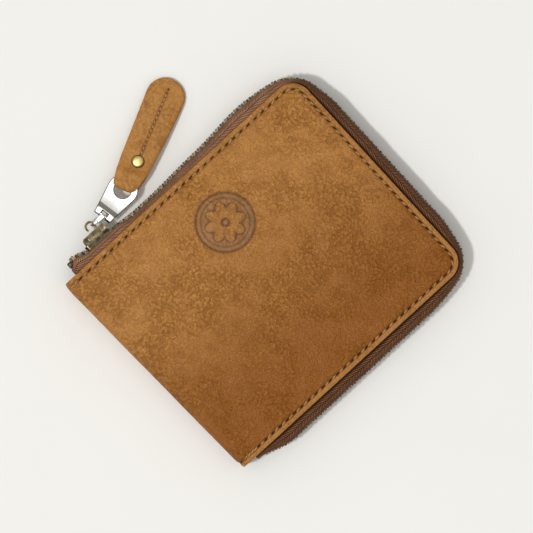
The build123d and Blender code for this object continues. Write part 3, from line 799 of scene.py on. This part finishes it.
def edge_stitching(side):
    front = side == "front"
    radius = CORNER_R - STITCH_INSET
    length = rim_length(STITCH_FIRST_X, STITCH_FIRST_X, radius)
    s = np.arange(-STITCH_PITCH, length + STITCH_PITCH, STITCH_PITCH)
    s = np.concatenate([[-5.7], s, s[-2:] + STITCH_PITCH / 2])  # tacked down at both ends
    place, normal, tangent = along_rim(s, -STITCH_INSET, STITCH_FIRST_X, radius)
    jitter = rng.normal(0, 1, (len(s), 3))
    place = place + normal * 0.06 * jitter[:, :1] + tangent * 0.08 * jitter[:, 1:2]
    base = relief(place[:, 0], place[:, 1], s, np.full(len(s), STITCH_INSET), front)
    slant = np.radians(16 + 4 * jitter[:, 2:3])
    along = tangent * np.cos(slant) + normal * np.sin(slant)
    out = -tangent * np.sin(slant) + normal * np.cos(slant)
    up = np.tile([0.0, 0.0, 1.0], (len(s), 1))
    place = on_sheet(place[:, 0], place[:, 1], base + 0.18)
    points, faces = thread_bead(2.2, 0.56, 0.5)
    if not front:
        place = mirrored(place)
        up = -up
        faces = flipped(faces)
    piece = repeated(f"{side}_edge_stitches", points, faces, place, along, out, up, thread)
    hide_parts(f"{side}_edge_stitching")
    return bent_at_fold(piece)


# ---- zip


TAPE_THICK = 0.55
TAPE_START_X = tape_low[0] + 1.2  # its end is folded back
TAPE_END_X = -52.0


# The tape's middle line, side on: how far out it is where it swells and where it is taut, and how high.
SWOLLEN = [-5.6, -3.5, -1.6, -0.6, 0.1, 0.8, 1.6, 2.3, 2.8, 3.1, 3.2, 3.15, 3.05, 2.95]
TAUT = [-5.6, -3.5, -1.6, -0.6, 0.1, 0.6, 1.1, 1.6, 2.05, 2.45, 2.65, 2.8, 2.9, 2.95]
HEIGHTS = [18.1, 18.1, 17.9, 17.25, 16.95, 17.1, 16.95, 16.4, 15.5, 14.4, 13.2, 12.2, 11.6, 11.15]
BEAD_THICK = 1.35  # the tape's last two rows, times its thickness


def tape_profile(outs):
    """The corner points joined by a smooth curve."""
    corners = np.array([outs, HEIGHTS]).T
    at = np.arange(len(corners))
    fine = np.linspace(0, len(corners) - 1, 3 * len(corners) - 2)
    curve = np.stack([np.interp(fine, at, corners[:, k]) for k in (0, 1)], axis=1)
    for _ in range(2):
        curve[1:-1] = (curve[:-2] + 2 * curve[1:-1] + curve[2:]) / 4
    return curve


def zip_tape(side):
    """A woven strip sewn in under the leather; it swells out and turns in to its beaded edge."""
    length = rim_length(TAPE_START_X, TAPE_END_X, CHAIN_RADIUS)
    s = np.linspace(0, length, 420)
    profile = tape_profile(SWOLLEN)
    taut = tape_profile(TAUT)
    run = np.concatenate([[0], np.cumsum(np.hypot(*np.diff(profile, axis=0).T))])
    direction = np.gradient(profile, axis=0)
    direction /= np.linalg.norm(direction, axis=1, keepdims=True)
    share = smooth(profile[:, 0] / 3.0)
    bow = chain_bow(s, TAPE_START_X)
    ripple = 0.10 * np.sin(s / 3.1 + 1.0) + 0.08 * np.sin(s / 1.9)
    place, normal, _ = along_rim(s, 0, TAPE_START_X, CHAIN_RADIUS)
    slider_side = smooth((normal[:, 1] - 0.5) / 0.5)
    belly = 0.35 * (1 - slider_side)[:, None] * (hump(profile[:, 1], 14.0, 2.2) * share)[None, :]
    drawn = smooth((place[:, 0] + 31) / 8) * smooth((48 - place[:, 0]) / 12) * (normal[:, 1] > 0.99)
    spread = row_spread(place[:, 0], place[:, 1])
    bead = np.where(np.arange(len(profile)) >= len(profile) - 2, BEAD_THICK, 1.0)
    layers = []
    for sign in (1, -1):
        offset = sign * TAPE_THICK / 2 * bead
        move = drawn[:, None] * (taut - profile)[None, :, 0]
        growth = (profile[:, 0] - direction[:, 1] * offset)[None, :] + move
        height = profile[:, 1] + direction[:, 0] * offset
        grown = growth + (bow + ripple)[:, None] * share[None, :] + belly
        grown = grown - (1 - smooth(s / 4.0))[:, None] * share[None, :] * 2.6
        points = place[:, None, :] + normal[:, None, :] * grown[..., None]
        points[..., 2] = height[None, :] + spread[:, None] * share[None, :] * 0.9
        layers.append(points.reshape(-1, 3))
    along, across = np.meshgrid(s, run, indexing="ij")
    pale_side = np.repeat(slider_side, len(profile))
    attributes = {"flat": np.stack([along.ravel(), across.ravel(), pale_side], axis=1)}
    sheets = for_side(side, *layers, flipped(grid_faces(len(s), len(profile))))
    piece = shell(f"{side}_tape_cloth", *sheets, [tape_cloth] * 3, attributes, 80)
    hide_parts(f"{side}_zip_tape")
    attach(piece, side)
    return piece


def tooth_shape():
    half = TOOTH_DEEP / 2 + 0.2
    rings = [
        chamfered(0.40, half - 0.2, 0.15, 0.0),
        chamfered(0.56, half, 0.22, 0.2),
        chamfered(0.56, half, 0.22, 1.7),
        chamfered(0.47, half - 0.1, 0.2, 2.05),
        chamfered(0.47, half - 0.14, 0.2, 3.2),
        chamfered(0.30, half - 0.45, 0.14, 3.6),
    ]
    return stacked(rings)


LOOSE_END = 7.6  # the first teeth stand out this far along


def zip_teeth(side):
    front = side == "front"
    first = TOOTH_PITCH / 2 if front else 0.0
    s = np.arange(first, rim_length(TEETH_START_X, TEETH_END_X, CHAIN_RADIUS), TOOTH_PITCH)
    loose = 0.8 * smooth((LOOSE_END - s) / 3.0)
    out = CHAIN_OUT + chain_bow(s, TEETH_START_X) + loose
    place, normal, tangent = along_rim(s, out, TEETH_START_X, CHAIN_RADIUS)
    foot = teeth_high[2] - SPREAD_MOST - MID
    sign = 1 if front else -1
    place[:, 2] = MID + sign * (foot + row_spread(place[:, 0], place[:, 1]))
    up = np.tile([0.0, 0.0, -sign], (len(s), 1))
    points, faces = tooth_shape()
    if not front:
        faces = flipped(faces)
    piece = repeated(f"{side}_teeth", points, faces, place, tangent, normal, up, teeth_metal, 30)
    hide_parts(f"{side}_zip_teeth")
    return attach(piece, side)


TOP_STOP_ALONG = 0.9  # a top stop sits this much nearer the teeth than its CAD box
TOP_STOP_IN = 0.3


def stop_block(name, node, low, high, body):
    """A clamped stop: a block with rounded edges and a waist."""
    x = (low[0] + high[0]) / 2
    half_long = (high[0] - low[0]) / 2
    half_deep = (high[1] - low[1]) / 2
    tall = high[2] - low[2]
    at_start = low[1] > 0
    run = x - TEETH_START_X + TOP_STOP_ALONG if at_start else rim_length(TEETH_START_X, x, CHAIN_RADIUS)
    s = np.array([run])
    out = CHAIN_OUT + chain_bow(s, TEETH_START_X) - (TOP_STOP_IN if at_start else 0.0)
    place, normal, tangent = along_rim(s, out, TEETH_START_X, CHAIN_RADIUS)
    place[:, 2] = low[2]
    rings = []
    for share, grow in ((0, -0.3), (0.08, 0), (0.4, 0), (0.5, -0.12), (0.6, 0), (0.92, 0), (1, -0.3)):
        rings.append(chamfered(half_long + grow, half_deep + grow, 0.35, tall * share))
    points, faces = stacked(rings)
    up = np.array([[0.0, 0.0, 1.0]])
    piece = repeated(name, points, flipped(faces), place, tangent, normal, up, stop_metal, 35)
    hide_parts(node)
    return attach(piece, body)


# ---- metal parts kept from the CAD model


SHARP = math.radians(35)


def finished(node, name, body, materials, width):
    """The CAD solid with clean faces and softened edges; a second material is for the edges."""
    mesh = frame["nodes"][node].data.copy()
    mesh.name = name
    work = bmesh.new()
    work.from_mesh(mesh)
    bmesh.ops.remove_doubles(work, verts=work.verts, dist=0.004 * MM)
    bmesh.ops.dissolve_limit(work, angle_limit=math.radians(1.5), verts=work.verts, edges=work.edges)
    work.to_mesh(mesh)
    work.free()
    mesh.materials.clear()
    for material in materials:
        mesh.materials.append(material)
    mesh.polygons.foreach_set("use_smooth", np.ones(len(mesh.polygons), bool))
    mesh.set_sharp_from_angle(angle=SHARP)
    obj = linked(name, mesh)
    bevel = obj.modifiers.new("soft_edges", "BEVEL")
    bevel.width = width * MM
    bevel.segments = 3
    bevel.limit_method = "ANGLE"
    bevel.angle_limit = SHARP
    bevel.harden_normals = True
    bevel.use_clamp_overlap = False
    bevel.material = len(materials) - 1
    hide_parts(node)
    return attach(obj, body)


# ---- pull tab and rivet

tab_pivot = np.array(joints["tab_flap"]["pos_m"]) / MM
tab_across = -np.array(joints["tab_flap"]["axis"])
tab_across /= np.linalg.norm(tab_across)
foot_low, foot_high = box_mm("rivet_foot")
rivet_at = (foot_low + foot_high) / 2
tab_along = rivet_at - tab_pivot
tab_along -= tab_across * (tab_along @ tab_across)
PIVOT_BACK = np.linalg.norm(tab_along)
tab_along /= PIVOT_BACK
tab_up = np.cross(tab_along, tab_across)
rivet_at = tab_pivot + tab_along * PIVOT_BACK

TAB_LAYER = 1.28
LAYER_MID = 0.66
LOOP_X = -10.3
LOOP_MID_R = 1.65
TAB_END_X = 28.2
TAB_END_R = 7.6
TAB_PART_X = -2.6  # here the two layers part to go round the plate's rim
TAB_SEAM_START = 2.6
TAB_GROOVE_END = 31.5
TAB_SLITS_END = 31.0
TAB_STITCH_FIRST = 3.9
TAB_STITCH_LAST = 29.5
TAB_STITCH_PITCH = 1.9


def tab_path():
    """The folded strip's middle line, side on: (along, up) from the lower tip to the upper tip."""
    ease = np.sin(np.linspace(0, math.pi / 2, 14))
    tip = TAB_END_X + TAB_END_R * ease[:0:-1] * 0.9995
    lower = [(a, -LAYER_MID) for a in np.concatenate([tip, np.linspace(TAB_END_X, TAB_PART_X, 62)])]
    for a in np.linspace(-3.0, -7.0, 9):
        lower.append((a, -LAYER_MID - (LOOP_MID_R - LAYER_MID) * float(smooth((TAB_PART_X - a) / 3.6))))
    lower += [(a, -LOOP_MID_R) for a in np.linspace(-7.6, LOOP_X, 6)]
    turns = np.linspace(0, math.pi, 13)[1:-1]
    loop = [(LOOP_X - LOOP_MID_R * math.sin(t), -LOOP_MID_R * math.cos(t)) for t in turns]
    return np.array(lower + loop + [(a, -w) for a, w in lower[::-1]])


# The strip's outline, from the fold in the eye to the round end: along, left edge, right edge.
TAB_OUTLINE = np.array(
    [
        (-12.7, 5.1, -2.0), (-11.6, 5.4, -3.0), (-10.3, 6.0, -3.9), (-8.6, 6.3, -4.4), (-6.0, 6.7, -5.0),
        (-4.0, 6.8, -5.4), (0.0, 7.1, -5.8), (10.0, 7.35, -6.6), (20.0, 7.6, -7.2), (27.0, 7.8, -7.4),
    ]
)


def tab_spread(a):
    """The strip's middle, which moves over where it goes round the rim, and half its width."""
    left, right = (np.interp(a, TAB_OUTLINE[:, 0], TAB_OUTLINE[:, k]) for k in (1, 2))
    over = np.clip(a - TAB_END_X, 0, TAB_END_R)
    round_end = np.sqrt(np.clip(TAB_END_R**2 - over**2, 0.01, None))
    return (left + right) / 2, np.where(a > TAB_END_X, round_end, (left - right) / 2)


def tab_point(a, y, w):
    return rivet_at + a[..., None] * tab_along + y[..., None] * tab_across + w[..., None] * tab_up


def pull_tab():
    path = tab_path()
    a, w = path[:, 0], path[:, 1]
    step = np.gradient(path, axis=0)
    step /= np.linalg.norm(step, axis=1, keepdims=True)
    out_a, out_w = -step[:, 1], step[:, 0]
    run = np.concatenate([[0], np.cumsum(np.hypot(*np.diff(path, axis=0).T))])
    share = np.array([-1, -0.985, -0.95, -0.9, -0.8, -0.66, -0.5, -0.35, -0.22, -0.12, -0.06, 0])
    share = np.concatenate([share, -share[-2::-1]])
    middle, half = tab_spread(a)
    lower = smooth((0.8 - w) / 1.6)
    y = (middle - 0.45 * lower)[:, None] + half[:, None] * share[None, :]
    from_edge = half[:, None] * (1 - np.abs(share))[None, :]
    layers = []
    stitched = smooth(a - TAB_SEAM_START) * smooth(TAB_GROOVE_END - a)
    for sign in (1, -1):
        thick = TAB_LAYER / 2 - 0.02 * (sign < 0)
        if sign > 0:
            roll = 0.28 * hump(from_edge, 0, 0.45) + 0.22 * hump(from_edge, 0, 1.8)
            groove = 0.30 * stitched[:, None] * hump(y, 0, 0.75)
            offset = thick - roll - groove + 0.05 * np.sin(run[:, None] / 3.3 + y / 4.1)
        else:
            offset = np.full(y.shape, -thick)
        place_a = a[:, None] + out_a[:, None] * offset
        place_w = w[:, None] + out_w[:, None] * offset
        layers.append(tab_point(place_a, y, place_w).reshape(-1, 3))
    faces = flipped(grid_faces(len(a), len(share)))
    flat = np.stack([np.broadcast_to(run[:, None], y.shape), y + 70, 0 * y], axis=-1).reshape(-1, 3)
    from_first = (a - TAB_STITCH_FIRST) * STITCH_PITCH / TAB_STITCH_PITCH
    from_first = np.where((a < TAB_SEAM_START) | (a > TAB_SLITS_END), UNSEWN, from_first)
    from_first = np.broadcast_to(from_first[:, None], y.shape)
    rim = np.stack([from_first, STITCH_INSET + y, 0 * y], axis=-1).reshape(-1, 3)
    attributes = {"flat": flat, "rim": rim}
    piece = shell("pull_tab_strip", *layers, faces, [tab_hide, leather_back, leather_cut], attributes, 50)
    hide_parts("pull_tab_leather", "pull_tab_loop")
    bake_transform(piece)
    return piece


def tab_stitching():
    at = np.arange(TAB_STITCH_FIRST, TAB_STITCH_LAST, TAB_STITCH_PITCH)
    points, faces = thread_bead(1.55, 0.56, 0.5)
    a = np.concatenate([at, at])
    sign = np.repeat([1.0, -1.0], len(at))
    w = sign * (2 * LAYER_MID - 0.06)
    y = rng.normal(0, 0.05, len(a))
    slant = np.radians(10 + rng.normal(0, 2, len(a)))[:, None]
    along = tab_along * np.cos(slant) + tab_across * np.sin(slant)
    out = (-tab_along * np.sin(slant) + tab_across * np.cos(slant)) * sign[:, None]
    up = sign[:, None] * tab_up
    piece = repeated("pull_tab_stitches", points, faces, tab_point(a, y, w), along, out, up, thread)
    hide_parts("pull_tab_stitching")
    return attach(piece, "pull_tab")


def rivet_cap():
    """A turned dome with a rolled rim."""
    profile = [
        (1.2, 0.1), (2.2, 0.02), (2.5, 0.06), (2.6, 0.2), (2.55, 0.36), (2.42, 0.46), (2.3, 0.5),
        (2.24, 0.62), (2.14, 0.8), (1.96, 0.94), (1.65, 1.05), (1.2, 1.14), (0.75, 1.2), (0.35, 1.23),
    ]
    count = 48
    angle = np.linspace(0, 2 * np.pi, count + 1)[:-1]
    circle = np.stack([np.cos(angle), np.sin(angle)], axis=1)
    rings = [np.hstack([circle * radius, np.full((count, 1), height)]) for radius, height in profile]
    points, faces = stacked(rings)
    base = rivet_at + tab_up * (2 * LAYER_MID - 0.05)
    axes = (base[None], tab_along[None], tab_across[None], tab_up[None])
    piece = repeated("rivet_dome", points, flipped(faces), *axes, rivet_metal, 40)
    # The rim faces get the painted dark reflection.
    piece.data.materials.append(rivet_rim_dark_reflection)
    for face in piece.data.polygons:
        if (face.center / MM - Vector(base)).dot(Vector(tab_up)) < 0.5:
            face.material_index = 1
    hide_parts("rivet_cap")
    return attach(piece, "pull_tab")


# ---- pockets


POCKETS = ("slip_pocket", "card_slot_1", "card_slot_2", "card_slot_3")
PANEL_CORNER_R = 2.0
POCKET_STITCH_PITCH = 2.6
POCKET_SEAM_IN = 1.4


def panel(node, body):
    """A pocket panel with rounded corners, soft edges and a creased line along its open edge."""
    low, high = box_mm(node)
    near = np.array([0, 0.15, 0.35, 0.6, 1.0, 1.5, 2.0, 2.3, 2.6, 3.0])

    def lines(start, end, count):
        middle = np.linspace(start + 3, end - 3, count)[1:-1]
        return np.concatenate([start + near, middle, end - near[::-1]])

    xs = lines(low[0], high[0], 60)
    ys = lines(low[1], high[1], 40)
    x, y = (g.ravel() for g in np.meshgrid(xs, ys, indexing="ij"))
    radius = PANEL_CORNER_R
    over_x = np.clip(np.maximum(x - high[0] + radius, low[0] + radius - x), 0, None)
    over_y = np.clip(np.maximum(y - high[1] + radius, low[1] + radius - y), 0, None)
    both = (over_x > 0) & (over_y > 0)
    reach = np.where(both, np.maximum(over_x, over_y) / np.maximum(np.hypot(over_x, over_y), 1e-9), 1.0)
    middle_x = (low[0] + high[0]) / 2
    middle_y = (low[1] + high[1]) / 2
    x = x - np.sign(x - middle_x) * over_x * (1 - reach)
    y = y - np.sign(y - middle_y) * over_y * (1 - reach)
    from_side = np.minimum(x - low[0], high[0] - x)
    from_top = high[1] - y
    edge = np.minimum(from_side, np.minimum(from_top, y - low[1]))
    lift = -0.22 * hump(edge, 0, 0.35) - 0.16 * hump(from_top, 2.3, 0.32)
    lift = np.minimum(lift + 0.03 * np.sin(x / 9) * np.sin(y / 7), 0.03)
    faces = grid_faces(len(xs), len(ys))
    if body == "front":
        seen, hidden = low[2] + 0.04 - lift, high[2] - 0.02
        faces = flipped(faces)
    else:
        seen, hidden = high[2] - 0.04 + lift, low[2] + 0.02
    outer = np.stack([x, y, seen], axis=1)
    inner = np.stack([x, y, np.full(len(x), hidden)], axis=1)
    piece = shell(f"{node}_panel", outer, inner, faces, [pocket_hide, pocket_hide, pocket_cut], None, 50)
    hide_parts(node)
    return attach(piece, body)


def pocket_stitching(side):
    """Rows of stitches down both sides of the pockets and along the bottom."""
    panels = [box_mm(f"{side}_{part}") for part in POCKETS]
    front = side == "front"

    def surface(index):
        low, high = panels[index]
        return low[2] if front else high[2]

    spots = []
    slip_low, slip_high = panels[0]
    for y in np.arange(slip_low[1] + 3, slip_high[1] - 1, POCKET_STITCH_PITCH):
        for x in (slip_low[0] + POCKET_SEAM_IN, slip_high[0] - POCKET_SEAM_IN):
            spots.append((x, y, surface(0), 1))
    slot_low, slot_high = panels[1]
    for y in np.arange(slot_low[1] + 3, slot_high[1] - 1, POCKET_STITCH_PITCH):
        index = max(i for i in (1, 2, 3) if y < panels[i][1][1] - 0.5)
        for x in (slot_low[0] + POCKET_SEAM_IN, slot_high[0] - POCKET_SEAM_IN):
            spots.append((x, y, surface(index), 1))
    for x in np.arange(slot_low[0] + 3, slot_high[0] - 2, POCKET_STITCH_PITCH):
        spots.append((x, slot_low[1] + 1.3, surface(3), 0))
    spots = np.array(spots)
    upright = spots[:, 3:4]
    along = np.where(upright > 0, [[0.0, 1.0, 0.0]], [[1.0, 0.0, 0.0]])
    out = np.where(upright > 0, [[-1.0, 0.0, 0.0]], [[0.0, 1.0, 0.0]])
    up = np.tile([0.0, 0.0, 1.0], (len(spots), 1))
    points, faces = thread_bead(1.7, 0.5, 0.34)
    if front:
        up = -up
        faces = flipped(faces)
    piece = repeated(f"{side}_pocket_stitches", points, faces, spots[:, :3], along, out, up, thread)
    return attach(piece, side)


# ---- build everything

for side in ("back", "front"):
    cover(side)
    lining(side)
    edge_stitching(side)
    zip_tape(side)
    zip_teeth(side)
    stop_block(f"{side}_stop_clamp", f"{side}_top_stop", *box_mm(f"{side}_top_stop"), side)
    for part in POCKETS:
        panel(f"{side}_{part}", side)
    pocket_stitching(side)
    stiffener = frame["nodes"][f"{side}_stiffener"].data
    stiffener.materials.clear()
    stiffener.materials.append(board)

stop_block("bottom_stop_block", "bottom_stop", *box_mm("bottom_stop"), "back")
finished("slider_body", "slider_shell", "slider", [slider_metal, bright_edge], 0.2)
finished("slider_cap", "slider_bridge", "slider", [slider_metal, bright_edge], 0.18)
finished("puller_link", "link_ring", "link", [link_metal], 0.14)
finished("puller_plate", "puller_blade", "puller", [puller_metal, dark_reflection_edge], 0.3)
finished("rivet_foot", "rivet_tail", "pull_tab", [rivet_metal], 0.18)
pull_tab()
tab_stitching()
rivet_cap()


# ---- floor, light and camera


FLOOR_HALF = 900.0


def floor():
    look = Look("pale_floor")
    place = look.object_mm()
    grain = look.noise(place, 0.02, 3.0)
    colour = look.mix(grain, srgb(246, 245, 241), srgb(243, 242, 237))
    material = look.finish(Base_Color=colour, Roughness=0.85, Specular_IOR_Level=0.1)
    half = FLOOR_HALF
    points = [(-half, -half, 0), (half, -half, 0), (half, half, 0), (-half, half, 0)]
    piece = mesh_object("floor", points, [[0, 1, 2, 3]], [material])


def area_light(name, place, target, size, watts):
    data = bpy.data.lights.new(name, "AREA")
    data.shape = "DISK"
    data.size = size
    data.energy = watts
    lamp = linked(name, data)
    lamp.location = place
    lamp.rotation_euler = (Vector(target) - Vector(place)).to_track_quat("-Z", "Y").to_euler()


# How bright the studio is at each height of direction: dark walls, grey ceiling, a panel overhead.
SKY_LEVELS = [(0.0, 0.05), (0.25, 0.12), (0.5, 0.42), (0.88, 0.5), (0.94, 1.5), (1.0, 1.5)]


def sky():
    world = bpy.data.worlds.new("soft_studio")
    bpy.context.scene.world = world
    world.use_nodes = True
    tree = world.node_tree
    back = tree.nodes["Background"]
    place = tree.nodes.new("ShaderNodeTexCoord")
    parts = tree.nodes.new("ShaderNodeSeparateXYZ")
    tree.links.new(place.outputs["Generated"], parts.inputs[0])
    ramp = tree.nodes.new("ShaderNodeValToRGB")
    ramp.color_ramp.elements.remove(ramp.color_ramp.elements[1])
    for index, (height, level) in enumerate(SKY_LEVELS):
        stop = ramp.color_ramp.elements[0] if index == 0 else ramp.color_ramp.elements.new(height)
        stop.position = height
        stop.color = (level, level, level, 1)
    tree.links.new(parts.outputs[2], ramp.inputs["Fac"])
    tree.links.new(ramp.outputs["Color"], back.inputs["Strength"])
    back.inputs["Color"].default_value = (1.0, 0.995, 0.98, 1)


floor()
sky()
KEY_HIGH = 3.0
KEY_WIDE = 0.24
KEY_WATTS = 41.0
area_light("key", (-0.33 * KEY_HIGH, 0.11 * KEY_HIGH, KEY_HIGH), (0, 0, 0), KEY_WIDE, KEY_WATTS)

camera_data = bpy.data.cameras.new("camera")
camera = linked("camera", camera_data)
CAMERA_HIGH = 1.8
FRAME_WIDE = 0.2082  # seen at the height of the wallet's top
VIEW_TURN = -42.5
CAMERA_X = 1.49
CAMERA_Y = 2.01
SENSOR = 36
camera_data.sensor_width = SENSOR
camera_data.lens = SENSOR / 2 / (FRAME_WIDE / 2 / (CAMERA_HIGH - TOP * MM))
camera.location = (CAMERA_X * MM, CAMERA_Y * MM, CAMERA_HIGH)
camera.rotation_euler = (0, 0, math.radians(VIEW_TURN))
bpy.context.scene.camera = camera
bpy.context.scene.view_settings.view_transform = "Standard"
